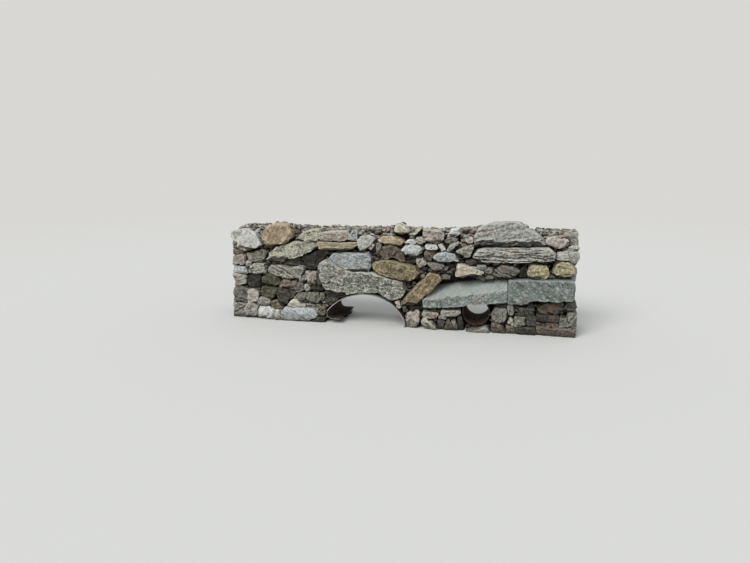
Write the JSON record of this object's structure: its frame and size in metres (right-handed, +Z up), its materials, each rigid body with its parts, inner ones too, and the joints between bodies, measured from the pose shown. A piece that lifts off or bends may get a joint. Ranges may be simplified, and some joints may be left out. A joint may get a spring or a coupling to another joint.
{
  "type": "culvert headwall",
  "caption": "Battered dry-laid rubble headwall with a long rough lintel over a corrugated steel pipe-arch, and a smaller corrugated pipe through its right side.",
  "frame": {"origin": "middle of the footprint on the ground line, which is where the wall meets the water", "axes": "+X along the wall to the right as seen from the water, +Y into the bank, +Z up"},
  "size_m": [6.3, 1, 1.905],
  "materials": {
    "pale_granite": "rough, split, dry",
    "blue_grey_granite": "rough, split, dry",
    "grey_gneiss": "rough, foliated, weathered",
    "dark_gneiss": "rough, damp and mossy",
    "tan_sandstone": "rough, weathered, iron-stained",
    "lichened_stone": "rough, with pale yellow-green lichen",
    "rubble_hearting": "packed small rubble",
    "rusted_galvanised_steel": "dull zinc, rusted through at the waterline"
  },
  "bodies": {
    "root": {"arch_barrel": "rusted_galvanised_steel", "arch_hearting": "rubble_hearting", "arch_lintel": "pale_granite", "back_arch_stones": "grey_gneiss", "back_left_stones": "grey_gneiss", "back_pier_stones": "grey_gneiss", "back_right_stones": "grey_gneiss", "back_side_pipe_stones": "grey_gneiss", "brown_wedge": "dark_gneiss", "centre_cope_stones": "grey_gneiss", "cope_boulders": "pale_granite", "green_round_stone": "lichened_stone", "laminated_slab": "grey_gneiss", "leaning_brace": "tan_sandstone", "left_cope_slab": "pale_granite", "left_end_stones": "grey_gneiss", "left_haunch_stones": "dark_gneiss", "left_hearting": "rubble_hearting", "left_high_stones": "grey_gneiss", "left_low_stones": "dark_gneiss", "left_lower_blocks": "dark_gneiss", "left_mid_block": "grey_gneiss", "left_mid_stones": "grey_gneiss", "lichen_block": "lichened_stone", "lichen_stones": "lichened_stone", "lintel_cap": "blue_grey_granite", "mossy_bearer": "tan_sandstone", "pale_green_wedge": "lichened_stone", "pier_block": "pale_granite", "pier_hearting": "rubble_hearting", "pier_stones": "pale_granite", "right_cope": "grey_gneiss", "right_end_stones": "grey_gneiss", "right_hearting": "rubble_hearting", "right_high_stones": "tan_sandstone", "right_low_stones": "dark_gneiss", "right_wedges": "pale_granite", "round_boulder": "tan_sandstone", "side_barrel": "rusted_galvanised_steel", "side_lintel": "grey_gneiss", "side_pipe_block": "grey_gneiss", "side_pipe_hearting": "rubble_hearting", "squared_block": "blue_grey_granite", "tan_layers": "tan_sandstone", "toe_block": "blue_grey_granite"}
  },
  "joints": []
}
